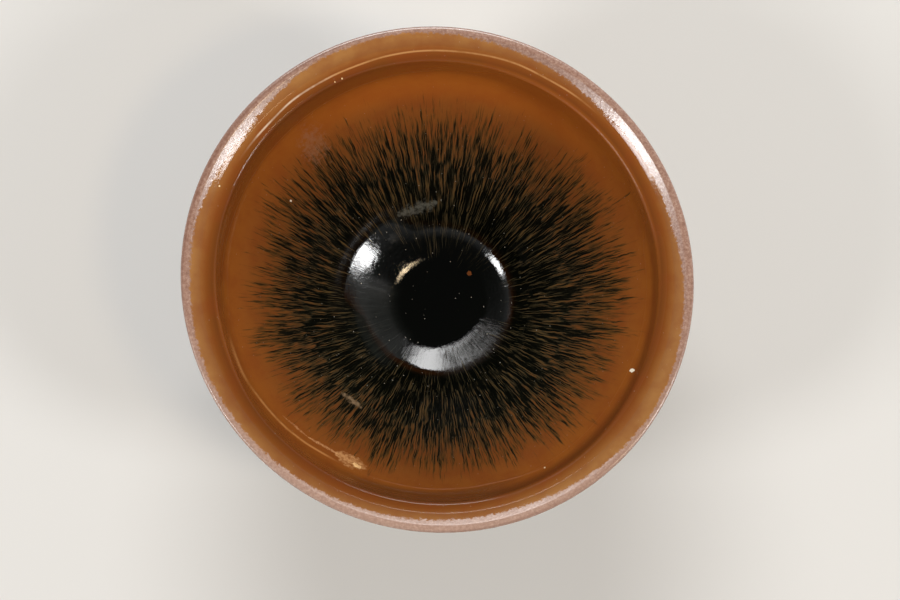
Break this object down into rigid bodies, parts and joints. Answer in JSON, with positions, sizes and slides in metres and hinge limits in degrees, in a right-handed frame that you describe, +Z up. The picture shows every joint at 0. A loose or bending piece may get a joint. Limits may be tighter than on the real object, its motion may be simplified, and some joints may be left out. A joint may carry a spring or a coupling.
{
  "type": "tenmoku tea bowl",
  "caption": "Conical stoneware tea bowl on a turned ring foot, with a flared lip, a streaked iron glaze and a pool of black glaze in the well.",
  "frame": {"origin": "centre of the foot ring, on the face that the bowl rests on", "axes": "+Z up along the wheel's axis; +X to the picture's right and +Y to its top"},
  "size_m": [0.122, 0.122, 0.066],
  "materials": {
    "stoneware": "matte",
    "hare_fur_glaze": "gloss",
    "black_glaze": "polished",
    "lip_glaze": "satin"
  },
  "bodies": {
    "root": {"stoneware_body": "stoneware", "inner_glaze": "hare_fur_glaze", "well_glaze": "black_glaze", "lip_glaze": "lip_glaze", "outer_glaze": "hare_fur_glaze", "glaze_roll": "black_glaze", "glaze_tears": "black_glaze"}
  },
  "joints": []
}
